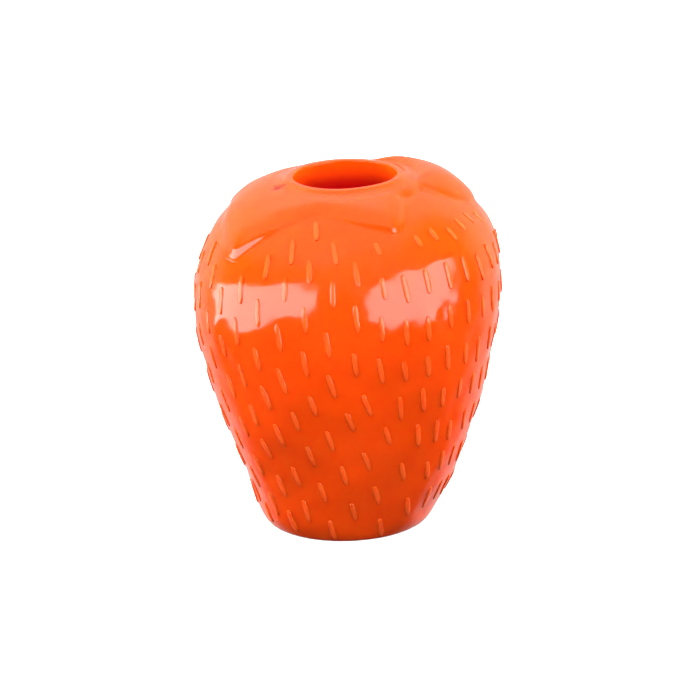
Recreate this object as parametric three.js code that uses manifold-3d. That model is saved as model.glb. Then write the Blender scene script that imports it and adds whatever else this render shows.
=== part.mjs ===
// Strawberry-shaped treat toy for dogs, in millimetres, +Z up, standing on Z = 0.
// Two elastomer mouldings: a hollow berry with raised seeds, and a crown of leaves
// that plugs into the berry's opening and carries the mouth.
// Azimuths are in degrees, 0 at the front (-Y), growing towards +X.
import * as THREE from 'three';
import { mergeVertices } from 'three/addons/utils/BufferGeometryUtils.js';
import Module from 'manifold-3d';

// Berry, outside
const BASE_RADIUS = 19.6;         // flat that the toy stands on
const FOOT_RADIUS = 23.2;         // where the round corner meets the flank
const FOOT_HEIGHT = 6.2;
const FOOT_FLARE = 0.41;          // radius gained per millimetre of height at the foot
const GIRTH_RADIUS = 37;          // widest place, without the seeds
const GIRTH_HEIGHT = 57;
const RIM_HEIGHT = 84.2;          // shoulder at the opening
const RIM_FALL = 0.23;            // height lost per millimetre outwards at the opening
const FLANK_LOW_PULL = 17;        // curve handles: how long each end keeps its direction
const FLANK_HIGH_PULL = 13.2;
const SHOULDER_LOW_PULL = 12.5;
const SHOULDER_HIGH_PULL = 16;
const SWAY = 1.45;                // the shoulder stands this far to one side of the girth
const SWAY_HEIGHT = 73.5;         // where it sways most
const SWAY_SPAN = 12;             // how quickly that fades with height
const BASE_SHIFT = -1.25;         // the base stands this far to the other side
const BASE_SPAN = 8.4;
const SHOULDER_TILT = 0.017;      // the top rises this much per millimetre towards +X

// Berry, inside
const WALL = 5.5;
const OPENING_RADIUS = 17;        // core is pulled out here, the crown closes it
const VENT_RADIUS = 3.2;          // lets air in, so that the mouth can't hold a tongue by suction

// Seeds: raised dashes, engraved in the same way in both halves of the mould
const SEED_LENGTH = 6.4;
const SEED_WIDTH = 1.9;           // at its sunk foot
const CREST_LENGTH = 5;           // its flat back, smaller all round so that its sides slope
const CREST_WIDTH = 0.8;
const SEED_HEIGHT = 0.5;          // above the wall
const SEED_SINK = 0.5;            // below it, so that the straight seed meets the curved wall
const SEED_LEAN = 9;              // degrees off the upright, as cut
const SEED_COLUMNS = 19;          // in each half
const LEVEL_PITCH = 10.1;         // along the wall, where the rows are level
const STAGGERED_PITCH = 10.85;    // along the wall, where every second column is shifted
const SEED_START = 10.8;          // first level row, along the wall from the base flat
const SEED_CLEAR = 1.2;           // bare wall between a seed and a leaf
const PARTING_AZIMUTH = 7;        // where the two engraved halves meet at the front
const LEAN_START = 49;            // along the wall: seeds below it drift sideways
const LEAN_RATE = 0.95;           // degrees of drift per millimetre at the parting line
const LEAN_POWER = 5;             // how fast the drift fades across a half
const LEAN_FOLLOW = 0.4;          // share of the drift's slope that a seed itself leans with
const STAGGER_FROM = 0.35;        // share of a half where level rows start to turn into staggered ones
const STAGGER_TO = 0.65;

// Crown
const FIT_GAP = 0.3;              // between the two mouldings
const MOUTH_RADIUS = 12.4;
const LIP_WIDTH = 1.7;
const LIP_HEIGHT = 0.35;          // above the crown's face
const LEAF_THICKNESS = 0.8;
const LEAF_EDGE = 0.5;            // thickness along the leaves' edge
const COLLAR_REACH = 1.4;         // least cover over the berry's rim, between the leaves
const ARCH_SHARP = 4;             // how sharply the edges of two leaves meet
const LEFT_LEAF = 20.5;           // lengths of the leaves on the shoulder
const FRONT_LEAF = 13.2;
const RIGHT_LEAF = 18;
const BACK_LEAF = 17;
const REAR_LEFT_LEAF = 16;
const RIGHT_PUFF = 1.8;           // how far the middle of a leaf swells
const LEAF_PUFF = 0.3;
const PUFF_SKEW = 0.68;           // below 1, a leaf swells nearer to the mouth than to its tip
const BEAD_REACH = 0.9;           // snap bead on the spigot, below the berry's wall
const BEAD_HEIGHT = 2.4;
// Azimuths of a leaf's two ends and of its tip. Edges sharper than 1 are hollow arches, below 1 they bulge
const LEAVES = [
  { start: -130, tip: -54, end: -5, length: LEFT_LEAF, before: 0.9, after: 1.6, puff: 0 },
  { start: -75, tip: 24, end: 44, length: FRONT_LEAF, before: 2.3, after: 0.9, puff: LEAF_PUFF },
  { start: 66, tip: 120, end: 175, length: RIGHT_LEAF, before: 0.6, after: 1.2, puff: RIGHT_PUFF },
  { start: 150, tip: 186, end: 222, length: BACK_LEAF, before: 1.6, after: 1.6, puff: LEAF_PUFF },
  { start: 206, tip: 246, end: 290, length: REAR_LEFT_LEAF, before: 1.3, after: 1, puff: LEAF_PUFF },
];

// Facets
const BODY_STEPS = 48;
const CROWN_STEPS = 60;
const CORNER_STEPS = 4;
const CURVE_STEPS = 6;
const CHAMBER_CURVE_STEPS = 5;
const LIP_STEPS = 4;
const LEAF_STEPS = 4;
const UNDERSIDE_STEPS = 5;
const MERGE_DISTANCE = 1e-5;

const ORANGE = 0xf9540f;
const wasm = await Module();
wasm.setup();

const plane = (radius, height) => new THREE.Vector2(radius, height);
const radians = THREE.MathUtils.degToRad;

// Outer wall as three curves: round corner, flank and shoulder
const foot = plane(FOOT_RADIUS, FOOT_HEIGHT);
const girth = plane(GIRTH_RADIUS, GIRTH_HEIGHT);
const rim = plane(OPENING_RADIUS, RIM_HEIGHT);
const corner = new THREE.QuadraticBezierCurve(
  plane(BASE_RADIUS, 0),
  plane(FOOT_RADIUS - FOOT_FLARE * FOOT_HEIGHT, 0),
  foot,
);
const flank = new THREE.CubicBezierCurve(
  foot,
  plane(FOOT_RADIUS + FOOT_FLARE * FLANK_LOW_PULL, FOOT_HEIGHT + FLANK_LOW_PULL),
  plane(GIRTH_RADIUS, GIRTH_HEIGHT - FLANK_HIGH_PULL),
  girth,
);
const shoulder = new THREE.CubicBezierCurve(
  girth,
  plane(GIRTH_RADIUS, GIRTH_HEIGHT + SHOULDER_LOW_PULL),
  plane(OPENING_RADIUS + SHOULDER_HIGH_PULL, RIM_HEIGHT - RIM_FALL * SHOULDER_HIGH_PULL),
  rim,
);
const wall = new THREE.CurvePath();
wall.add(corner);
wall.add(flank);
wall.add(shoulder);
const wallLength = wall.getLength();

// Outward normal of a curve that runs upwards
function outward(tangent) {
  return plane(tangent.y, -tangent.x);
}

function lifted(curve, share, lift) {
  return curve.getPoint(share).addScaledVector(outward(curve.getTangent(share)), lift);
}

function liftedPoints(curve, lift, steps) {
  const points = [];
  for (let i = 0; i <= steps; i += 1) {
    points.push(lifted(curve, i / steps, lift));
  }
  return points;
}

// Point on the shoulder, counted along it from the opening and lifted off it
function onShoulder(distance, lift) {
  const share = 1 - distance / wallLength;
  return wall.getPointAt(share).addScaledVector(outward(wall.getTangentAt(share)), lift);
}

function solid(geometry) {
  const bare = geometry.clone();
  bare.deleteAttribute('normal');
  bare.deleteAttribute('uv');
  const merged = mergeVertices(bare, MERGE_DISTANCE);
  const corners = merged.index.array;
  const triangles = [];
  for (let i = 0; i < corners.length; i += 3) {
    const [a, b, c] = corners.subarray(i, i + 3);
    if (a !== b && b !== c && c !== a) {
      triangles.push(a, b, c);
    }
  }
  return new wasm.Manifold(new wasm.Mesh({
    numProp: 3,
    vertProperties: new Float32Array(merged.attributes.position.array),
    triVerts: new Uint32Array(triangles),
  }));
}

function geometryOf(manifold) {
  const mesh = manifold.getMesh();
  const geometry = new THREE.BufferGeometry();
  geometry.setAttribute('position', new THREE.BufferAttribute(mesh.vertProperties, 3));
  geometry.setIndex(new THREE.BufferAttribute(mesh.triVerts, 1));
  geometry.computeVertexNormals();
  return geometry;
}

// How far the crown reaches over the shoulder at an azimuth, and how much it swells there
function leafAt(azimuth) {
  let cover = 0;
  let puff = 0;
  for (const leaf of LEAVES) {
    const turn = THREE.MathUtils.euclideanModulo(azimuth - leaf.tip + 180, 360) - 180;
    const [end, hollow] = turn > 0 ? [leaf.end, leaf.after] : [leaf.start, leaf.before];
    const away = turn / (end - leaf.tip);
    if (away < 1) {
      cover += ((leaf.length - COLLAR_REACH) * (1 - away) ** hollow) ** ARCH_SHARP;
      puff = Math.max(puff, leaf.puff * (1 - away ** 2) ** 2);
    }
  }
  return { reach: COLLAR_REACH + cover ** (1 / ARCH_SHARP), puff };
}

// Places of the seeds: azimuth, distance along the wall and lean.
// A half runs from level rows of upright seeds to staggered rows that lean with the parting line.
function seedPlaces() {
  const places = [];
  for (let half = 0; half < 2; half += 1) {
    for (let column = 0; column < SEED_COLUMNS; column += 1) {
      const share = (column + 0.5) / SEED_COLUMNS;
      const leaning = share ** LEAN_POWER;
      const staggered = THREE.MathUtils.smoothstep(share, STAGGER_FROM, STAGGER_TO);
      const pitch = THREE.MathUtils.lerp(LEVEL_PITCH, STAGGERED_PITCH, staggered);
      const first = SEED_START - (column % 2) * staggered * pitch / 2;
      for (let along = first; along < wallLength; along += pitch) {
        const drift = LEAN_RATE * Math.max(0, LEAN_START - along);
        const azimuth = PARTING_AZIMUTH + 180 * (half + share) + drift * leaning;
        const leafEnd = wallLength - leafAt(azimuth).reach;
        const hidden = along + SEED_LENGTH / 2 + SEED_CLEAR > leafEnd;
        const overrun = 180 * share < drift;
        if (!hidden && !overrun) {
          places.push({ azimuth, along, rate: along < LEAN_START ? LEAN_RATE * leaning : 0 });
        }
      }
    }
  }
  return places;
}

// One seed: a dash with sloping sides along the wall, with its foot sunk into it
function seed({ azimuth, along, rate }) {
  const share = along / wallLength;
  const place = wall.getPointAt(share);
  const outside = new THREE.Vector3(Math.sin(radians(azimuth)), -Math.cos(radians(azimuth)), 0);
  const swing = (flat) => outside.clone().multiplyScalar(flat.x).setZ(flat.y);
  const up = swing(wall.getTangentAt(share));
  const out = swing(outward(wall.getTangentAt(share)));
  const across = up.clone().cross(out);
  const lean = radians(SEED_LEAN) + LEAN_FOLLOW * Math.atan(radians(rate) * place.x);
  const dash = new THREE.BoxGeometry(SEED_WIDTH, SEED_LENGTH, SEED_HEIGHT + SEED_SINK);
  dash.translate(0, 0, (SEED_HEIGHT - SEED_SINK) / 2);
  const corners = dash.attributes.position;
  for (let i = 0; i < corners.count; i += 1) {
    if (corners.getZ(i) > 0) {
      corners.setX(i, Math.sign(corners.getX(i)) * CREST_WIDTH / 2);
      corners.setY(i, Math.sign(corners.getY(i)) * CREST_LENGTH / 2);
    }
  }
  dash.rotateZ(lean);
  const frame = new THREE.Matrix4().makeBasis(across, up, out).setPosition(swing(place));
  return solid(dash.applyMatrix4(frame));
}

// The berry's wall as one closed section, revolved, with the seeds joined on
function berryBody() {
  const innerFoot = lifted(flank, 0, -WALL);
  const innerFlank = liftedPoints(flank, -WALL, CHAMBER_CURVE_STEPS);
  const innerShoulder = liftedPoints(shoulder, -WALL, CHAMBER_CURVE_STEPS);
  const section = [
    plane(VENT_RADIUS, 0),
    ...corner.getPoints(CORNER_STEPS),
    ...flank.getPoints(CURVE_STEPS).slice(1),
    ...shoulder.getPoints(CURVE_STEPS).slice(1),
    plane(OPENING_RADIUS, innerShoulder.at(-1).y),
    ...innerShoulder.slice(1, -1).reverse(),
    ...innerFlank.reverse(),
    plane(innerFoot.x - (innerFoot.y - WALL), WALL),
    plane(VENT_RADIUS, WALL),
    plane(VENT_RADIUS, 0),
  ];
  const shell = new THREE.LatheGeometry(section, BODY_STEPS).rotateX(Math.PI / 2);
  const seeds = wasm.Manifold.union(seedPlaces().map(seed));
  return geometryOf(solid(shell).add(seeds));
}

// Section of the crown at an azimuth, as a closed loop that starts at the lower end of the mouth's bore.
// Every section has the same number of points.
function crownSection(azimuth) {
  const { reach, puff } = leafAt(azimuth);
  const faceStart = onShoulder(0, FIT_GAP + LEAF_THICKNESS);
  const lipFoot = faceStart.y + RIM_FALL * (faceStart.x - MOUTH_RADIUS - LIP_WIDTH);
  const lipTop = lipFoot + LIP_HEIGHT;
  const lipRound = LIP_WIDTH / 2;
  const spigotRadius = OPENING_RADIUS - FIT_GAP;
  const beadTop = lifted(shoulder, 1, -WALL).y - FIT_GAP;
  const spigotEnd = beadTop - BEAD_HEIGHT;
  const section = [plane(MOUTH_RADIUS, spigotEnd)];
  for (let i = 0; i <= LIP_STEPS; i += 1) {
    const angle = Math.PI * (1 - i / LIP_STEPS);
    const fall = i < LIP_STEPS / 2 ? lipRound : LIP_HEIGHT;
    section.push(plane(
      MOUTH_RADIUS + lipRound * (1 + Math.cos(angle)),
      lipTop - fall * (1 - Math.sin(angle)),
    ));
  }
  for (let i = 0; i <= LEAF_STEPS; i += 1) {
    const share = i / LEAF_STEPS;
    const thinning = (LEAF_THICKNESS - LEAF_EDGE) * share ** 4;
    const swell = puff * Math.sin(Math.PI * share ** PUFF_SKEW);
    const lift = FIT_GAP + LEAF_THICKNESS - thinning + swell;
    section.push(onShoulder(share * reach, lift));
  }
  for (let i = UNDERSIDE_STEPS; i >= 0; i -= 1) {
    section.push(onShoulder((i / UNDERSIDE_STEPS) * reach, FIT_GAP));
  }
  section.push(
    plane(spigotRadius, onShoulder(0, FIT_GAP).y),
    plane(spigotRadius, beadTop),
    plane(spigotRadius + BEAD_REACH, beadTop - BEAD_REACH),
    plane(spigotRadius, spigotEnd),
  );
  return section;
}

// Rows of sections round the axis, joined into one closed skin
function leafCrown() {
  const positions = [];
  const triangles = [];
  const perSection = crownSection(0).length;
  for (let step = 0; step < CROWN_STEPS; step += 1) {
    const azimuth = (360 * step) / CROWN_STEPS;
    for (const point of crownSection(azimuth)) {
      positions.push(point.x * Math.sin(radians(azimuth)), -point.x * Math.cos(radians(azimuth)), point.y);
    }
    const row = step * perSection;
    const nextRow = ((step + 1) % CROWN_STEPS) * perSection;
    for (let i = 0; i < perSection; i += 1) {
      const j = (i + 1) % perSection;
      triangles.push(row + i, row + j, nextRow + j, row + i, nextRow + j, nextRow + i);
    }
  }
  const geometry = new THREE.BufferGeometry();
  geometry.setAttribute('position', new THREE.Float32BufferAttribute(positions, 3));
  geometry.setIndex(triangles);
  geometry.computeVertexNormals();
  return geometry;
}

// The toy isn't quite turned: base and shoulder stand off to either side, and the top is tilted
function settled(geometry) {
  const bell = (height, middle, span) => Math.exp(-(((height - middle) / span) ** 2));
  const positions = geometry.attributes.position;
  for (let i = 0; i < positions.count; i += 1) {
    const z = positions.getZ(i);
    const shift = SWAY * bell(z, SWAY_HEIGHT, SWAY_SPAN) + BASE_SHIFT * bell(z, 0, BASE_SPAN);
    const x = positions.getX(i) + shift;
    const rise = SHOULDER_TILT * x * THREE.MathUtils.smoothstep(z, GIRTH_HEIGHT, RIM_HEIGHT);
    positions.setXYZ(i, x, positions.getY(i), z + rise);
  }
  geometry.computeVertexNormals();
  return geometry;
}

function moulding(name, geometry) {
  const material = new THREE.MeshStandardMaterial({ color: ORANGE, roughness: 0.25, metalness: 0 });
  const mesh = new THREE.Mesh(geometry, material);
  mesh.name = name;
  return mesh;
}

const toy = new THREE.Group();
toy.add(moulding('berry_body', settled(berryBody())));
toy.add(moulding('leaf_crown', settled(leafCrown())));

// The origin lies under the middle of the toy's width and depth
const middle = new THREE.Box3().setFromObject(toy).getCenter(new THREE.Vector3());
for (const mesh of toy.children) {
  mesh.geometry.translate(-middle.x, -middle.y, 0);
}

export default toy;
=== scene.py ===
"""Looks of a strawberry-shaped treat toy for dogs.

One glossy, slightly translucent orange elastomer in two mouldings: a hollow berry with raised seeds,
and a crown of leaves that closes the berry's opening and carries the mouth.
Metres, +Z up, standing on Z = 0. Azimuths are in degrees, 0 at the front (-Y), growing towards +X.
"""
import math
import random
from collections import namedtuple

import bpy
from mathutils import Matrix, Vector, noise


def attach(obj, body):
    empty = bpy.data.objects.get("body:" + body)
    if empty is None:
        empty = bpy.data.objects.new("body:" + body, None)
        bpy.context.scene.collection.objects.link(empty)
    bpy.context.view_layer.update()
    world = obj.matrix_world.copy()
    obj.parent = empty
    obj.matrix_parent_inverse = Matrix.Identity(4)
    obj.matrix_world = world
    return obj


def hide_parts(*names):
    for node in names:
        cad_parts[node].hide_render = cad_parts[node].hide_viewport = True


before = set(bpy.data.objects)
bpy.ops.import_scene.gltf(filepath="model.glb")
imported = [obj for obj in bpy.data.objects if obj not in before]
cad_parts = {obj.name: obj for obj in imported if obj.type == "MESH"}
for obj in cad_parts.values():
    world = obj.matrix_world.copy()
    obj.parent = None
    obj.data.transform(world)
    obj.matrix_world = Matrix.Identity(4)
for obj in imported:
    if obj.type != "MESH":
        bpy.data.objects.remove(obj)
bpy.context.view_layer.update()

# Berry, outside
BASE_RADIUS = 0.0196    # flat that the toy stands on
FOOT_RADIUS = 0.0232    # where the round corner meets the flank
FOOT_HEIGHT = 0.0062
FOOT_FLARE = 0.41       # radius gained per metre of height at the foot
GIRTH_RADIUS = 0.037    # widest place, without the seeds
GIRTH_HEIGHT = 0.057
RIM_HEIGHT = 0.0842     # shoulder at the opening
RIM_FALL = 0.23         # height lost per metre outwards at the opening
FLANK_LOW_PULL = 0.017  # curve handles: how long each end keeps its direction
FLANK_HIGH_PULL = 0.0132
SHOULDER_LOW_PULL = 0.0125
SHOULDER_HIGH_PULL = 0.016
SWAY = 0.00145          # the shoulder stands this far to one side of the girth
SWAY_HEIGHT = 0.0735    # where it sways most
SWAY_SPAN = 0.012       # how quickly that fades with height
BASE_SHIFT = -0.00125   # the base stands this far to the other side
BASE_SPAN = 0.0084
SHOULDER_TILT = 0.017   # the top rises this much per metre towards +X
UNEVEN = 0.00042        # how far the hand-finished mould strays from a true turned shape
UNEVEN_SPAN = 0.012     # from one high place to the next
UNEVEN_LAYERS = 2       # sizes of unevenness on top of each other
UNEVEN_FINER = 2.4      # how much finer each is than the last
UNEVEN_LOWER = 1        # power of that by which it is also lower

# Berry, inside
WALL_THICKNESS = 0.0055
OPENING_RADIUS = 0.017  # the core is pulled out here, and the crown closes it
VENT_RADIUS = 0.0032    # lets air in, so that the mouth can't hold a tongue by suction

# Seeds
SEED_LENGTH = 0.0064
SEED_WIDTH = 0.0014
SEED_HEIGHT = 0.0003    # above the wall
SEED_SINK = 0.0005      # below it, so that the straight seed meets the curved wall
SEED_BLUNT = 4          # how blunt its ends are, 2 would be an ellipse
SEED_FULL = 0.8         # below 1, its cross-section is fuller than an ellipse
SEED_LEAN = 9           # degrees off the upright, as cut
SEED_COLUMNS = 19       # in each half
LEVEL_PITCH = 0.0101    # along the wall, where the rows are level
STAGGERED_PITCH = 0.01085  # along the wall, where every second column is shifted
SEED_START = 0.0108     # first level row, along the wall from the base flat
SEED_CLEAR = 0.0012     # bare wall between a seed and a leaf
PARTING_AZIMUTH = 7     # where the two engraved halves meet at the front
LEAN_START = 0.049      # along the wall: seeds below it drift sideways
LEAN_RATE = 950         # degrees of drift per metre of wall at the parting line
LEAN_POWER = 5          # how fast the drift fades across a half
LEAN_FOLLOW = 0.4       # share of the drift's slope that a seed itself leans with
STAGGER_FROM = 0.35     # share of a half where level rows start to turn into staggered ones
STAGGER_TO = 0.65
SHORT_TOP = 0.45        # the highest level row is cut this much shorter
SHORT_FROM = 0.026      # distance from the opening where seeds start to shorten
SHORT_TO = 0.016        # and where they are shortest
CUTTER_SEED = 5         # random start for the strays of seeds that were cut by hand
TURN_STRAY = 0.5        # how far each may stray: degrees round the berry
ALONG_STRAY = 0.0009    # along the wall
LEAN_STRAY = 3          # degrees
LENGTH_STRAY = 0.12     # share of its length

# Crown
MOUTH_RADIUS = 0.0124
FIT_GAP = 0.0003        # between the two mouldings
LIP_WIDTH = 0.0017
LIP_HEIGHT = 0.00035    # above the crown's face
LIP_EASE = 0.0004       # rounding of its inner edge
LEAF_THICKNESS = 0.0008
LEAF_EDGE = 0.0008      # how far a leaf's edge stands above the berry towards its tip
FULL_EDGE_REACH = 0.020  # reach of the crown from which the edge has that height
LEAF_THINNING = 1.5     # above 1, a leaf thins late on the way to its edge
LEAF_SUNK = 0.0015      # hidden foot of the leaf inside the berry's wall
COLLAR_REACH = 0.0026   # least cover over the berry's rim
COLLAR_ROLL = 0.0020    # half the width over which the collar rolls down to the berry
ROLL_BLEND = 6          # degrees on either side of a tip over which one edge's roll turns into the other's
ARCH_SHARP = 4          # how sharply the edges of two leaves meet
RISE_SHARP = 3          # how quickly the rise of a tip fades along the leaf's edge
PUFF_SKEW = 0.68        # below 1, a leaf swells nearer to the mouth than to its tip
PUFF_FULL = 4           # how far the swelling keeps its height towards the leaf's two ends
BEAD_REACH = 0.0009     # snap bead on the spigot, below the berry's wall
BEAD_HEIGHT = 0.0024
# Azimuths of a leaf's two ends and of its tip, its length, how hollow its edges are on either side of
# the tip (below 1 they bulge), how far its middle swells and its tip rises, and half the width over
# which either edge rolls down to the berry
LEAF_VALUES = (
    "start", "tip", "end", "length", "before", "after", "puff", "rise", "roll before", "roll after",
)
LEAVES = [dict(zip(LEAF_VALUES, values)) for values in (
    (-130, -54, -5, 0.0205, 0.9, 1.6, 0.0, 0.0002, 0.0024, 0.0010),    # left
    (-75, 22, 43, 0.0125, 2.3, 0.9, 0.0003, 0.0005, 0.0006, 0.0010),   # front
    (72, 120, 160, 0.018, 0.35, 1.2, 0.0019, 0.0, 0.0014, 0.0030),     # right
    (150, 186, 222, 0.017, 1.6, 1.6, 0.0003, 0.0002, 0.0013, 0.0013),  # back
    (206, 246, 290, 0.016, 1.3, 1.0, 0.0003, 0.0002, 0.0013, 0.0013),  # rear left
)]

# Fineness of the meshes
BERRY_COLUMNS = 252
WALL_STEPS = 40         # along each of the wall's three curves
CROWN_COLUMNS = 360
BORE_STEPS = 8
LIP_STEPS = 10
FACE_STEPS = 56
SOFT_STEPS = 3          # sections to either side that soften a leaf's edge
UNDERSIDE_STEPS = 8
SEED_STATIONS = 8
SEED_ARC_STEPS = 8
CREASE = math.radians(50)  # edges that turn further than this stay sharp

# Elastomer
PIGMENT = (0.69, 0.052, 0.0007, 1)
# Paler pigment: tone for the clouds, and painted light on the seeds' crests
CLOUD_AND_CREST_LIGHT_PIGMENT = (1.0, 0.095, 0.014, 1)
CREST_LIGHT_SHARE = 0.8       # share of the pale pigment painted on a seed's back as the light its raised crest catches
# Painted shade: deep red down in the bore, where little light reaches
BORE_SHADE_PIGMENT = (0.3, 0.0015, 0.002, 1)
BORE_SHADE_DARKEST_AT = 0.6           # share of the bore's depth where the painted shade is at its darkest
CLOUD_SCALE = 60.0      # patterns in the skin: how many there are to a metre
HAZE_SCALE = 260.0
RIPPLE_SCALE = 190.0
CLOUD_DETAIL = 2.0      # and how many finer layers they hold
HAZE_DETAIL = 4.0
RIPPLE_DETAIL = 1.0
CLOUD_BAND = (0.3, 0.7)  # strength of the pattern where clouds begin and where they are full
CLOUD_SHARE = 0.1       # share of the pale pigment in a full cloud
HAZE_BAND = (0.35, 0.75)
CLEAR_ROUGHNESS = 0.09
HAZE_ROUGHNESS = 0.17
RELIEF_HEIGHT = 0.0002
RELIEF_STRENGTH = 0.3
REFRACTION = 1.5
GLOW = 0.6              # share of the light that wanders below the skin
GLOW_REACH = 0.0015     # how far it wanders
GLOW_COLOURS = (1.0, 0.3, 0.1)

# Scar beside the mouth, where the gate was cut off: dull and sunk, with painted shade darkening its pit
SCAR_SHADE_PIGMENT = (0.2, 0.014, 0.0003, 1)
SCAR_PLACE = (-0.0157, -0.0055, 0.0850)
SCAR_SIZE = 0.0022
SCAR_CORE = 0.5         # share of its size where it is darkest
SCAR_COVER = 0.9        # share of the orange that its painted shade hides there
SCAR_BITES = 900.0      # in its ragged outline, to a metre
SCAR_ROUGHNESS = 0.4
SCAR_DEPTH = 2.0        # in heights of the ripples

# Lights by name: azimuth, elevation, distance, width, height, radiance and what they serve
LIGHTS = {
    "left_window": (-64.4, 3.9, 1.04, 2.05, 0.42, 6.0, "mirror"),
    "right_window": (35.6, 5.3, 1.3, 1.77, 0.75, 5.5, "mirror"),
    "left_fill": (-126, 14, 1.3, 1.2, 0.6, 35, "fill"),
    "right_fill": (124, 14, 1.3, 1.2, 0.6, 31, "fill"),
    "left_high_fill": (-50, 40, 1.3, 1.2, 1.2, 3.6, "fill"),
    "right_high_fill": (50, 40, 1.3, 1.2, 1.2, 3.1, "fill"),
    "front_fill": (0, 33, 1.6, 1.2, 1.2, 8.8, "fill"),
}
# Windows that don't face the toy squarely: turned about the upright, and rolled about their own facing
WINDOW_TURNS = {"left_window": (-15.6, 12), "right_window": (39.4, 0)}
ROOM_DIM = 0.045        # strengths of the white surroundings
PAPER = 1.0             # what the camera sees of them
BACKDROP_LOW = 0.62
BACKDROP_HIGH = 0.58
BACKDROP_RISE = (-0.4, 0.35)  # sines of the elevations where it has these strengths
BACKDROP_AZIMUTH = 178
BACKDROP_EDGE = (0.35, 0.65)  # cosines of the angles to its middle where it begins and where it is full
CANOPY = 0.56           # bright cloth that hangs over the toy, a little to the left
CANOPY_AZIMUTH = -110
CANOPY_TILT = 76
CANOPY_EDGE = (0.64, 0.81)
WHITE = (1, 1, 1, 1)
TABLE_SIDE = 8
TABLE_COLOUR = (0.9, 0.9, 0.9, 1)

# Camera, from the photograph's view
CAMERA_DISTANCE = 0.9
CAMERA_TILT = 18.49
CAMERA_ROLL = -1.8
CAMERA_LENS = 190.6     # millimetres
SENSOR = 36             # millimetres across
AIM_HEIGHT = 0.0420
AIM_SIDE = 0.0001


class Nodes:
    """Adds nodes to a tree, and links or sets their inputs."""

    def __init__(self, tree):
        self.tree = tree

    def add(self, kind, inputs=None, **settings):
        node = self.tree.nodes.new(kind)
        for name, value in settings.items():
            setattr(node, name, value)
        for socket, value in (inputs or {}).items():
            if isinstance(value, bpy.types.NodeSocket):
                self.tree.links.new(value, node.inputs[socket])
            else:
                node.inputs[socket].default_value = value
        return node

    def math(self, operation, first, second=0.0):
        return self.add("ShaderNodeMath", {0: first, 1: second}, operation=operation).outputs[0]

    def ramp(self, value, band, low=0.0, high=1.0):
        """Low where a value is at the start of a band or below it, high at its end and above."""
        limits = {"Value": value, "From Min": band[0], "From Max": band[1], "To Min": low, "To Max": high}
        return self.add("ShaderNodeMapRange", limits).outputs[0]

    def pattern(self, place, scale, detail):
        return self.add("ShaderNodeTexNoise", {"Vector": place, "Scale": scale, "Detail": detail}).outputs[0]

    def blend(self, share, first, second):
        colours = {"Factor": share, "A": first, "B": second}
        return self.add("ShaderNodeMix", colours, data_type="RGBA").outputs["Result"]


def smoothstep(value, low, high):
    share = min(max((value - low) / (high - low), 0), 1)
    return share * share * (3 - 2 * share)


def cubic(start, start_pull, end_pull, end, share):
    rest = 1 - share
    return (start * rest**3 + start_pull * (3 * rest**2 * share)
            + end_pull * (3 * rest * share**2) + end * share**3)


class Wall:
    """The berry's outer wall from the base flat to the opening, as (radius, height) points."""

    def __init__(self):
        base = Vector((BASE_RADIUS, 0))
        foot = Vector((FOOT_RADIUS, FOOT_HEIGHT))
        girth = Vector((GIRTH_RADIUS, GIRTH_HEIGHT))
        rim = Vector((OPENING_RADIUS, RIM_HEIGHT))
        corner = Vector((FOOT_RADIUS - FOOT_FLARE * FOOT_HEIGHT, 0))
        low = foot + FLANK_LOW_PULL * Vector((FOOT_FLARE, 1))
        high = girth - FLANK_HIGH_PULL * Vector((0, 1))
        over = girth + SHOULDER_LOW_PULL * Vector((0, 1))
        flat = rim + SHOULDER_HIGH_PULL * Vector((1, -RIM_FALL))
        # Handles two thirds of the way to the corner make a parabola of the first curve
        curves = [
            (base, base.lerp(corner, 2 / 3), foot.lerp(corner, 2 / 3), foot),
            (foot, low, high, girth),
            (girth, over, flat, rim),
        ]
        self.points = [base]
        for curve in curves:
            self.points += [cubic(*curve, step / WALL_STEPS) for step in range(1, WALL_STEPS + 1)]
        self.alongs = [0.0]
        for before, after in zip(self.points, self.points[1:]):
            self.alongs.append(self.alongs[-1] + (after - before).length)
        self.length = self.alongs[-1]

    def tangent(self, index):
        before = self.points[max(index - 1, 0)]
        after = self.points[min(index + 1, len(self.points) - 1)]
        return (after - before).normalized()

    def lifted(self, index, lift):
        tangent = self.tangent(index)
        return self.points[index] + lift * Vector((tangent.y, -tangent.x))

    def at(self, along, lift=0.0):
        """Point at a distance along the wall from the base flat, lifted off it."""
        index = 1
        while index < len(self.alongs) - 1 and self.alongs[index] < along:
            index += 1
        share = (along - self.alongs[index - 1]) / (self.alongs[index] - self.alongs[index - 1])
        return self.lifted(index - 1, lift).lerp(self.lifted(index, lift), share)


wall = Wall()

# Reach over the shoulder, swelling, half the width of the rolled edge and rise of the edge
Leaf = namedtuple("Leaf", "reach puff roll rise")


def leaf_at(azimuth):
    """The crown of leaves at an azimuth."""
    cover, puff, rise = 0.0, 0.0, 0.0
    weight = COLLAR_REACH**ARCH_SHARP
    roll = weight * COLLAR_ROLL
    for leaf in LEAVES:
        turn = (azimuth - leaf["tip"] + 180) % 360 - 180
        side, end = ("after", "end") if turn > 0 else ("before", "start")
        away = turn / (leaf[end] - leaf["tip"])
        if away < 1:
            share = ((leaf["length"] - COLLAR_REACH) * (1 - away) ** leaf[side]) ** ARCH_SHARP
            cover += share
            past = smoothstep(turn, -ROLL_BLEND, ROLL_BLEND)
            roll += share * (leaf["roll before"] + past * (leaf["roll after"] - leaf["roll before"]))
            puff = max(puff, leaf["puff"] * (1 - away**PUFF_FULL) ** 2)
            rise = max(rise, leaf["rise"] * (1 - away) ** RISE_SHARP)
    return Leaf(COLLAR_REACH + cover ** (1 / ARCH_SHARP), puff, roll / (weight + cover), rise)


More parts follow.
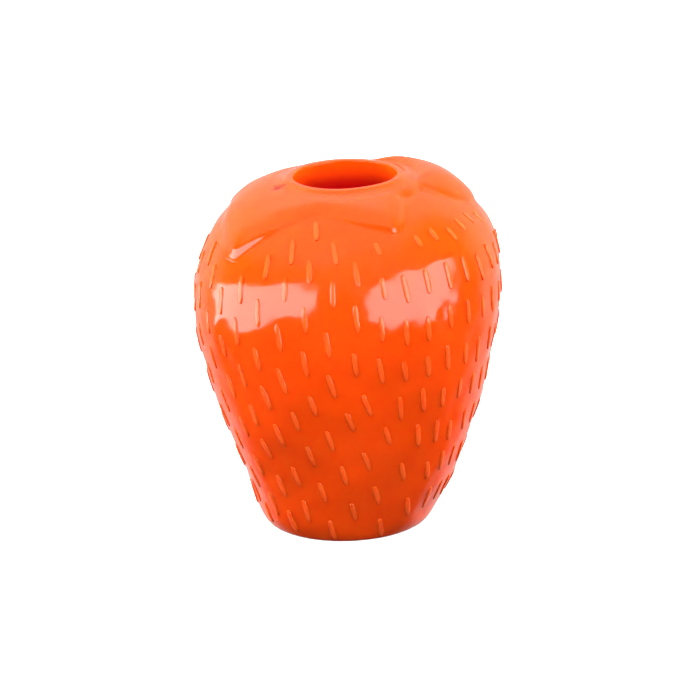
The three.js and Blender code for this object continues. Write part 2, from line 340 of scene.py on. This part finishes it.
def seed_places():
    """Azimuth, distance along the wall, lean and stretch of each seed.

    A half of the mould runs from level rows of upright seeds to staggered rows that lean with the
    parting line.
    """
    hand = random.Random(CUTTER_SEED)
    places = []
    for half in range(2):
        for column in range(SEED_COLUMNS):
            share = (column + 0.5) / SEED_COLUMNS
            leaning = share**LEAN_POWER
            staggered = smoothstep(share, STAGGER_FROM, STAGGER_TO)
            pitch = LEVEL_PITCH + (STAGGERED_PITCH - LEVEL_PITCH) * staggered
            along = SEED_START - column % 2 * staggered * pitch / 2
            while along < wall.length:
                drift = LEAN_RATE * max(0, LEAN_START - along)
                azimuth = PARTING_AZIMUTH + 180 * (half + share) + drift * leaning
                reach = leaf_at(azimuth).reach
                hidden = along + SEED_LENGTH / 2 + SEED_CLEAR > wall.length - reach
                overrun = 180 * share < drift   # by columns that drift in from the other half
                if not hidden and not overrun:
                    rate = LEAN_RATE * leaning if along < LEAN_START else 0
                    slope = math.degrees(math.atan(math.radians(rate) * wall.at(along).x))
                    lean = SEED_LEAN + LEAN_FOLLOW * slope
                    top = smoothstep(wall.length - along, SHORT_FROM, SHORT_TO) * (1 - staggered)
                    places.append((
                        math.radians(azimuth + hand.uniform(-1, 1) * TURN_STRAY),
                        along + hand.uniform(-1, 1) * ALONG_STRAY,
                        math.radians(lean + hand.uniform(-1, 1) * LEAN_STRAY),
                        (1 + hand.uniform(-1, 1) * LENGTH_STRAY) * (1 - SHORT_TOP * top),
                    ))
                along += pitch
    return places


def mesh_object(name, vertices, faces=()):
    mesh = bpy.data.meshes.new(name)
    mesh.from_pydata(vertices, [], faces)
    piece = bpy.data.objects.new(name, mesh)
    bpy.context.scene.collection.objects.link(piece)
    return piece


def line_object(name, points, closed):
    """A curve through points."""
    curve = bpy.data.curves.new(name, "CURVE")
    curve.dimensions = "3D"
    spline = curve.splines.new("POLY")
    spline.points.add(len(points) - 1)
    for knot, point in zip(spline.points, points):
        knot.co = (*point, 1)
    spline.use_cyclic_u = closed
    line = bpy.data.objects.new(name, curve)
    bpy.context.scene.collection.objects.link(line)
    return line


def berry_section():
    """Closed section of the berry's wall: base, outside, opening, chamber and vent."""
    inside = [wall.lifted(index, -WALL_THICKNESS) for index in range(WALL_STEPS, len(wall.points))]
    inside[-1].x = OPENING_RADIUS
    # The chamber's floor meets its wall in a bevel of 45 degrees
    floor_radius = inside[0].x - (inside[0].y - WALL_THICKNESS)
    return [
        Vector((VENT_RADIUS, 0)),
        *wall.points,
        *reversed(inside),
        Vector((floor_radius, WALL_THICKNESS)),
        Vector((VENT_RADIUS, WALL_THICKNESS)),
    ]


def seed_blank():
    """One seed, lying along Y with its foot below Z = 0: a low dash with round ends and a round back."""
    vertices = [(0, -SEED_LENGTH / 2, -SEED_SINK)]
    ring = SEED_ARC_STEPS + 3   # points over the back, and two at the foot
    for station in range(1, SEED_STATIONS):
        along = math.cos(math.pi * station / SEED_STATIONS)
        swell = math.sqrt(1 - along**SEED_BLUNT)
        width = SEED_WIDTH / 2 * swell
        for step in range(SEED_ARC_STEPS + 1):
            angle = math.pi * step / SEED_ARC_STEPS
            across = math.copysign(abs(math.cos(angle)) ** SEED_FULL, math.cos(angle))
            rise = SEED_HEIGHT * swell * max(math.sin(angle), 0) ** SEED_FULL
            vertices.append((width * across, -along * SEED_LENGTH / 2, rise))
        vertices.append((-width, -along * SEED_LENGTH / 2, -SEED_SINK))
        vertices.append((width, -along * SEED_LENGTH / 2, -SEED_SINK))
    vertices.append((0, SEED_LENGTH / 2, -SEED_SINK))
    faces = []
    for station in range(SEED_STATIONS - 2):
        start = 1 + station * ring
        for step in range(ring):
            following = (step + 1) % ring
            faces.append((start + step, start + following, start + ring + following, start + ring + step))
    last = len(vertices) - 1
    for step in range(ring):
        following = (step + 1) % ring
        faces.append((0, 1 + following, 1 + step))
        faces.append((last, last - ring + step, last - ring + following))
    blank = mesh_object("seed_blank", vertices, faces)
    # Height over the wall, which carries the painted light on the seeds' crests
    raised = blank.data.attributes.new("raised", "FLOAT", "POINT")
    raised.data.foreach_set("value", [max(vertex[2], 0) / SEED_HEIGHT for vertex in vertices])
    return blank


SEED_VALUES = ("azimuth", "along", "lean", "stretch")


def seeded_berry_tree():
    """Turns the berry's section round the axis and joins a seed on at each point."""
    tree = bpy.data.node_groups.new("seeded_berry", "GeometryNodeTree")
    face = tree.interface
    for name, kind in (
        ("Seed Points", "NodeSocketGeometry"),
        ("Section", "NodeSocketObject"),
        ("Wall Line", "NodeSocketObject"),
        ("Seed", "NodeSocketObject"),
        ("Columns", "NodeSocketInt"),
        ("Girth Radius", "NodeSocketFloat"),
        ("Material", "NodeSocketMaterial"),
    ):
        face.new_socket(name, in_out="INPUT", socket_type=kind)
    face.new_socket("Berry", in_out="OUTPUT", socket_type="NodeSocketGeometry")
    nodes = Nodes(tree)
    given = nodes.add("NodeGroupInput").outputs

    # The section is drawn from the girth's circle, and the circle carries it round
    section = nodes.add("GeometryNodeObjectInfo", {"Object": given["Section"]}).outputs["Geometry"]
    circle = nodes.add(
        "GeometryNodeCurvePrimitiveCircle",
        {"Resolution": given["Columns"], "Radius": given["Girth Radius"]},
    ).outputs["Curve"]
    turned = nodes.add("GeometryNodeCurveToMesh", {"Curve": circle, "Profile Curve": section}).outputs["Mesh"]

    # Each seed stands on the wall line, swung to its azimuth and leant in the wall's surface
    azimuth, along, lean, stretch = (
        nodes.add("GeometryNodeInputNamedAttribute", {"Name": name}, data_type="FLOAT").outputs["Attribute"]
        for name in SEED_VALUES
    )
    line = nodes.add("GeometryNodeObjectInfo", {"Object": given["Wall Line"]}).outputs["Geometry"]
    place = nodes.add("GeometryNodeSampleCurve", {"Curves": line, "Length": along}, mode="LENGTH").outputs
    slope = nodes.add("ShaderNodeSeparateXYZ", {0: place["Tangent"]}).outputs
    outward = nodes.add(
        "ShaderNodeCombineXYZ", {"Y": nodes.math("MULTIPLY", slope["Z"], -1.0), "Z": slope["Y"]}
    ).outputs[0]
    position, upward, outward = (
        nodes.add(
            "ShaderNodeVectorRotate", {"Vector": vector, "Angle": azimuth}, rotation_type="Z_AXIS"
        ).outputs[0]
        for vector in (place["Position"], place["Tangent"], outward)
    )
    stance = nodes.add(
        "FunctionNodeAxesToRotation",
        {"Primary Axis": outward, "Secondary Axis": upward},
        primary_axis="Z",
        secondary_axis="Y",
    ).outputs[0]
    turn = nodes.add("FunctionNodeAxisAngleToRotation", {"Axis": (0, 0, 1), "Angle": lean}).outputs[0]
    stance = nodes.add(
        "FunctionNodeRotateRotation", {"Rotation": stance, "Rotate By": turn}, rotation_space="LOCAL"
    ).outputs[0]
    points = nodes.add(
        "GeometryNodeSetPosition", {"Geometry": given["Seed Points"], "Position": position}
    ).outputs[0]
    blank = nodes.add("GeometryNodeObjectInfo", {"Object": given["Seed"]}).outputs["Geometry"]
    size = nodes.add("ShaderNodeCombineXYZ", {"X": 1.0, "Y": stretch, "Z": stretch}).outputs[0]
    seeds = nodes.add(
        "GeometryNodeInstanceOnPoints",
        {"Points": points, "Instance": blank, "Rotation": stance, "Scale": size},
    ).outputs[0]
    seeds = nodes.add("GeometryNodeRealizeInstances", {0: seeds}).outputs[0]

    joined = nodes.add("GeometryNodeMeshBoolean", operation="UNION", solver="MANIFOLD")
    tree.links.new(turned, joined.inputs["Mesh 2"])
    tree.links.new(seeds, joined.inputs["Mesh 2"])
    smooth = nodes.add("GeometryNodeSetShadeSmooth", {"Geometry": joined.outputs["Mesh"]}).outputs[0]
    finished = nodes.add(
        "GeometryNodeSetMaterial", {"Geometry": smooth, "Material": given["Material"]}
    ).outputs[0]
    realized = nodes.add("GeometryNodeRealizeInstances", {0: finished}).outputs[0]
    nodes.add("NodeGroupOutput", {"Berry": realized})
    return tree


def grow(piece, tree, values):
    """Runs a geometry tree on a piece with its inputs set, and keeps the result as a plain mesh."""
    modifier = piece.modifiers.new(tree.name, "NODES")
    modifier.node_group = tree
    for item in tree.interface.items_tree:
        if item.name in values:
            modifier[item.identifier] = values[item.name]
    graph = bpy.context.evaluated_depsgraph_get()
    mesh = bpy.data.meshes.new_from_object(piece.evaluated_get(graph))
    piece.modifiers.remove(modifier)
    piece.data = mesh


def bell(height, middle, span):
    return math.exp(-(((height - middle) / span) ** 2))


def settle(pieces):
    """Sets base and shoulder off to either side, tilts the top and centres the toy over the origin."""
    for piece in pieces:
        for vertex in piece.data.vertices:
            spot = vertex.co.copy()
            radial = Vector((spot.x, spot.y, 0)).normalized()
            uneven = UNEVEN * noise.fractal(spot / UNEVEN_SPAN, UNEVEN_LOWER, UNEVEN_FINER, UNEVEN_LAYERS)
            spot += radial * uneven * smoothstep(spot.z, 0, FOOT_HEIGHT)
            spot.x += SWAY * bell(spot.z, SWAY_HEIGHT, SWAY_SPAN) + BASE_SHIFT * bell(spot.z, 0, BASE_SPAN)
            spot.z += SHOULDER_TILT * spot.x * smoothstep(spot.z, GIRTH_HEIGHT, RIM_HEIGHT)
            vertex.co = spot
    spots = [vertex.co for piece in pieces for vertex in piece.data.vertices]
    middle = Vector((
        (min(spot.x for spot in spots) + max(spot.x for spot in spots)) / 2,
        (min(spot.y for spot in spots) + max(spot.y for spot in spots)) / 2,
        0,
    ))
    for piece in pieces:
        piece.data.transform(Matrix.Translation(-middle))


def berry_body(material):
    """The hollow berry with its seeds."""
    places = seed_places()
    piece = mesh_object("berry_skin", [(0, 0, 0)] * len(places))
    for index, name in enumerate(SEED_VALUES):
        layer = piece.data.attributes.new(name, "FLOAT", "POINT")
        layer.data.foreach_set("value", [place[index] for place in places])
    section = line_object(
        "section_line", [(point.x - GIRTH_RADIUS, -point.y, 0) for point in berry_section()], closed=True
    )
    wall_line = line_object("wall_line", [(0, -point.x, point.y) for point in wall.points], closed=False)
    blank = seed_blank()
    grow(piece, seeded_berry_tree(), {
        "Section": section,
        "Wall Line": wall_line,
        "Seed": blank,
        "Columns": BERRY_COLUMNS,
        "Girth Radius": GIRTH_RADIUS,
        "Material": material,
    })
    for helper in (section, wall_line, blank):
        bpy.data.objects.remove(helper)
    for name in SEED_VALUES:
        layer = piece.data.attributes.get(name)
        if layer:
            piece.data.attributes.remove(layer)
    piece.data.set_sharp_from_angle(angle=CREASE)
    return piece


def crown_lift(azimuth, distance):
    """Height of the crown's face above the berry's wall, at a distance from the opening's rim."""
    leaf = leaf_at(azimuth)
    rounding = min(leaf.roll, leaf.reach)
    edge = LEAF_EDGE * smoothstep(leaf.reach, 0, FULL_EDGE_REACH) + leaf.rise
    share = min(distance / leaf.reach, 1)
    thinning = (FIT_GAP + LEAF_THICKNESS - edge) * share**LEAF_THINNING
    face = FIT_GAP + LEAF_THICKNESS - thinning + leaf.puff * math.sin(math.pi * share**PUFF_SKEW)
    rolled = min(max((distance - leaf.reach + rounding) / (2 * rounding), 0), 1)
    return face * (1 + math.cos(math.pi * rolled)) / 2


def crown_section(azimuth):
    """Section of the crown at an azimuth: a closed loop of (radius, height) from the bore's lower end."""
    leaf = leaf_at(azimuth)
    spread = math.degrees(leaf.roll / (OPENING_RADIUS + leaf.reach))
    offsets = range(-SOFT_STEPS, SOFT_STEPS + 1)
    nearby = [azimuth + spread * offset / SOFT_STEPS for offset in offsets]
    weights = [SOFT_STEPS + 1 - abs(offset) for offset in offsets]
    far = max(beside.reach + beside.roll for beside in map(leaf_at, nearby))

    def over(distance, lift):
        return wall.at(wall.length - distance, lift)

    # Edges that run towards the mouth are rolled down as softly as those that run round it
    face = []
    for step in range(FACE_STEPS + 1):
        distance = far * step / FACE_STEPS
        lifts = [weight * crown_lift(angle, distance) for weight, angle in zip(weights, nearby)]
        face.append(over(distance, sum(lifts) / sum(weights)))

    lip_foot = face[0].y + RIM_FALL * (face[0].x - MOUTH_RADIUS - LIP_WIDTH)
    lip_top = lip_foot + LIP_HEIGHT
    spigot_radius = OPENING_RADIUS - FIT_GAP
    bead_top = wall.lifted(len(wall.points) - 1, -WALL_THICKNESS).y - FIT_GAP
    spigot_end = Vector((spigot_radius, bead_top - BEAD_HEIGHT))
    bore_end = Vector((MOUTH_RADIUS, spigot_end.y))
    bore_top = Vector((MOUTH_RADIUS, lip_top - LIP_EASE))
    section = [bore_end.lerp(bore_top, step / BORE_STEPS) for step in range(BORE_STEPS)]
    for step in range(LIP_STEPS + 1):
        angle = math.pi * (1 - step / LIP_STEPS)
        width, fall = (LIP_EASE, LIP_EASE) if step < LIP_STEPS / 2 else (LIP_WIDTH - LIP_EASE, LIP_HEIGHT)
        section.append(Vector((
            MOUTH_RADIUS + LIP_EASE + width * math.cos(angle),
            lip_top - fall * (1 - math.sin(angle)),
        )))
    section += face
    for step in range(UNDERSIDE_STEPS, -1, -1):
        section.append(over(far * step / UNDERSIDE_STEPS, -LEAF_SUNK))
    section += [
        Vector((spigot_radius, over(0, -LEAF_SUNK).y)),
        Vector((spigot_radius, bead_top)),
        Vector((spigot_radius + BEAD_REACH, bead_top - BEAD_REACH)),
        spigot_end,
    ]
    return section


def leaf_crown(material):
    """The crown of leaves with the mouth, one section beside the other."""
    vertices = []
    for column in range(CROWN_COLUMNS):
        azimuth = 360 * column / CROWN_COLUMNS
        turn = Matrix.Rotation(math.radians(azimuth), 3, "Z")
        section = crown_section(azimuth)
        vertices += [turn @ Vector((0, -point.x, point.y)) for point in section]
    around = len(section)
    faces = []
    for column in range(CROWN_COLUMNS):
        row = column * around
        following = (column + 1) % CROWN_COLUMNS * around
        for index in range(around):
            beside = (index + 1) % around
            faces.append((row + index, row + beside, following + beside, following + index))
    piece = mesh_object("crown_skin", vertices, faces)
    # Painted shade in the bore, from its mouth down to its darkest depth
    depths = [smoothstep(1 - index / BORE_STEPS, 0, BORE_SHADE_DARKEST_AT) for index in range(around)]
    piece.data.attributes.new("depth", "FLOAT", "POINT").data.foreach_set("value", depths * CROWN_COLUMNS)
    piece.data.shade_smooth()
    piece.data.materials.append(material)
    return piece


def skin_group():
    """Pigment, sheen and relief of the moulded skin.

    Cloudy pigment, painted light on the paler crests, painted shade deep red down the bore and dark in the
    scar's pit, faint ripples and handling haze.
    """
    tree = bpy.data.node_groups.new("moulded_skin", "ShaderNodeTree")
    face = tree.interface
    for name in ("Pigment", "Crest Pigment", "Deep Pigment", "Scar Pigment"):
        face.new_socket(name, in_out="INPUT", socket_type="NodeSocketColor")
    face.new_socket("Scar Place", in_out="INPUT", socket_type="NodeSocketVector")
    face.new_socket("Colour", in_out="OUTPUT", socket_type="NodeSocketColor")
    for name in ("Roughness", "Relief"):
        face.new_socket(name, in_out="OUTPUT", socket_type="NodeSocketFloat")
    nodes = Nodes(tree)
    given = nodes.add("NodeGroupInput").outputs
    place = nodes.add("ShaderNodeTexCoord").outputs["Object"]

    # Clouds in the pigment, and painted light that makes the seeds' crests paler than the wall
    cloudy = nodes.ramp(nodes.pattern(place, CLOUD_SCALE, CLOUD_DETAIL), CLOUD_BAND, high=CLOUD_SHARE)
    raised = nodes.add("ShaderNodeAttribute", attribute_name="raised").outputs["Fac"]
    crest_light = nodes.math("MULTIPLY", raised, CREST_LIGHT_SHARE)
    colour = nodes.blend(nodes.math("ADD", crest_light, cloudy), given["Pigment"], given["Crest Pigment"])

    # Painted shade: deep red, darker down the bore
    depth = nodes.add("ShaderNodeAttribute", attribute_name="depth").outputs["Fac"]
    colour = nodes.blend(depth, colour, given["Deep Pigment"])

    # A small ragged scar, dull and sunk, darkened by painted shade in its pit
    bites = nodes.add("ShaderNodeTexNoise", {"Vector": place, "Scale": SCAR_BITES}).outputs["Color"]
    shift = nodes.add(
        "ShaderNodeVectorMath",
        {0: bites, 1: [SCAR_SIZE] * 3, 2: [-SCAR_SIZE / 2] * 3},
        operation="MULTIPLY_ADD",
    ).outputs[0]
    ragged = nodes.add("ShaderNodeVectorMath", {0: place, 1: shift}, operation="ADD").outputs[0]
    away = nodes.add(
        "ShaderNodeVectorMath", {0: ragged, 1: given["Scar Place"]}, operation="DISTANCE"
    ).outputs["Value"]
    scar = nodes.ramp(away, (SCAR_SIZE * SCAR_CORE, SCAR_SIZE), SCAR_COVER, 0.0)
    colour = nodes.blend(scar, colour, given["Scar Pigment"])

    haze = nodes.pattern(place, HAZE_SCALE, HAZE_DETAIL)
    sheen = nodes.ramp(haze, HAZE_BAND, CLEAR_ROUGHNESS, HAZE_ROUGHNESS)
    rough = nodes.math("MAXIMUM", sheen, nodes.math("MULTIPLY", scar, SCAR_ROUGHNESS))
    ripple = nodes.pattern(place, RIPPLE_SCALE, RIPPLE_DETAIL)
    relief = nodes.math("SUBTRACT", ripple, nodes.math("MULTIPLY", scar, SCAR_DEPTH))
    nodes.add("NodeGroupOutput", {"Colour": colour, "Roughness": rough, "Relief": relief})
    return tree


def elastomer(name, group):
    """Glossy orange elastomer that lets a little light into its skin."""
    material = bpy.data.materials.new(name)
    material.use_nodes = True
    material.node_tree.nodes.clear()
    nodes = Nodes(material.node_tree)
    skin = nodes.add("ShaderNodeGroup", {
        "Pigment": PIGMENT,
        "Crest Pigment": CLOUD_AND_CREST_LIGHT_PIGMENT,
        "Deep Pigment": BORE_SHADE_PIGMENT,
        "Scar Pigment": SCAR_SHADE_PIGMENT,
        "Scar Place": SCAR_PLACE,
    }, node_tree=group).outputs
    relief = nodes.add("ShaderNodeBump", {
        "Strength": RELIEF_STRENGTH, "Distance": RELIEF_HEIGHT, "Height": skin["Relief"],
    }).outputs[0]
    shader = nodes.add("ShaderNodeBsdfPrincipled", {
        "Base Color": skin["Colour"],
        "Roughness": skin["Roughness"],
        "Normal": relief,
        "IOR": REFRACTION,
        "Subsurface Weight": GLOW,
        "Subsurface Radius": GLOW_COLOURS,
        "Subsurface Scale": GLOW_REACH,
    })
    nodes.add("ShaderNodeOutputMaterial", {"Surface": shader.outputs[0]})
    return material


def floor():
    """Pale table top."""
    half = TABLE_SIDE / 2
    corners = [(-half, -half, 0), (half, -half, 0), (half, half, 0), (-half, half, 0)]
    piece = mesh_object("floor", corners, [(0, 1, 2, 3)])
    material = bpy.data.materials.new("pale_table")
    material.use_nodes = True
    surface = material.node_tree.nodes["Principled BSDF"].inputs
    surface["Base Color"].default_value = TABLE_COLOUR
    surface["Roughness"].default_value = 1
    piece.data.materials.append(material)
    piece.visible_glossy = False
    piece.visible_diffuse = False


def direction(azimuth, elevation):
    """Unit vector from the toy towards an azimuth and a height above the horizon, in degrees."""
    level = math.cos(math.radians(elevation))
    return Vector((
        level * math.sin(math.radians(azimuth)),
        -level * math.cos(math.radians(azimuth)),
        math.sin(math.radians(elevation)),
    ))


def panel(name, azimuth, elevation, distance, width, height, radiance, serves):
    """Soft light panel round the toy. It serves as a fill on the skin or as a window mirrored in it."""
    light = bpy.data.lights.new(name, "AREA")
    light.shape = "RECTANGLE"
    light.size = width
    light.size_y = height
    light.energy = radiance * math.pi * width * height
    lamp = bpy.data.objects.new(name, light)
    away = direction(azimuth, elevation)
    lamp.location = Vector((0, 0, GIRTH_HEIGHT)) + distance * away
    turn, roll = (math.radians(angle) for angle in WINDOW_TURNS.get(name, (0, 0)))
    facing = away.to_track_quat("Z", "Y").to_matrix()
    facing = facing @ Matrix.Rotation(turn, 3, "Y") @ Matrix.Rotation(roll, 3, "Z")
    lamp.rotation_euler = facing.to_euler()
    lamp.visible_camera = False
    lamp.visible_glossy = serves == "mirror"
    lamp.visible_diffuse = serves == "fill"
    bpy.context.scene.collection.objects.link(lamp)


def surroundings():
    """White backdrop behind the toy with a canopy above it, dim towards the camera."""
    world = bpy.data.worlds.new("studio")
    world.use_nodes = True
    world.node_tree.nodes.clear()
    nodes = Nodes(world.node_tree)
    way = nodes.add("ShaderNodeTexCoord").outputs["Generated"]
    behind, overhead = (
        nodes.add(
            "ShaderNodeVectorMath", {0: way, 1: direction(azimuth, tilt)}, operation="DOT_PRODUCT"
        ).outputs["Value"]
        for azimuth, tilt in ((BACKDROP_AZIMUTH, 0), (CANOPY_AZIMUTH, CANOPY_TILT))
    )
    height = nodes.add("ShaderNodeSeparateXYZ", {0: way}).outputs["Z"]
    graded = nodes.ramp(height, BACKDROP_RISE, BACKDROP_LOW, BACKDROP_HIGH)
    wide = nodes.ramp(behind, BACKDROP_EDGE)
    canopy = nodes.ramp(overhead, CANOPY_EDGE, ROOM_DIM, CANOPY)
    room = nodes.math("ADD", nodes.math("MULTIPLY", wide, graded), canopy)
    seen = nodes.add("ShaderNodeLightPath").outputs["Is Camera Ray"]
    strength = nodes.add("ShaderNodeMix", {"Factor": seen, "A": room, "B": PAPER}).outputs["Result"]
    sky = nodes.add("ShaderNodeBackground", {"Color": WHITE, "Strength": strength})
    nodes.add("ShaderNodeOutputWorld", {"Surface": sky.outputs[0]})
    bpy.context.scene.world = world


def camera():
    """View of the photograph."""
    eye = bpy.data.cameras.new("camera")
    eye.lens = CAMERA_LENS
    eye.sensor_width = SENSOR
    seat = bpy.data.objects.new("camera", eye)
    away = direction(0, CAMERA_TILT)
    seat.location = Vector((AIM_SIDE, 0, AIM_HEIGHT)) + CAMERA_DISTANCE * away
    aim = away.to_track_quat("Z", "Y").to_matrix()
    roll = Matrix.Rotation(math.radians(CAMERA_ROLL), 3, "Z")
    seat.rotation_euler = (aim @ roll).to_euler()
    bpy.context.scene.collection.objects.link(seat)
    bpy.context.scene.camera = seat


bpy.context.scene.view_settings.view_transform = "Standard"
skin = skin_group()
berry = berry_body(elastomer("berry_elastomer", skin))
crown = leaf_crown(elastomer("crown_elastomer", skin))
settle((berry, crown))
for piece, node in ((berry, "berry_body"), (crown, "leaf_crown")):
    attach(piece, "root")
    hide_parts(node)

floor()
for name, values in LIGHTS.items():
    panel(name, *values)
surroundings()
camera()
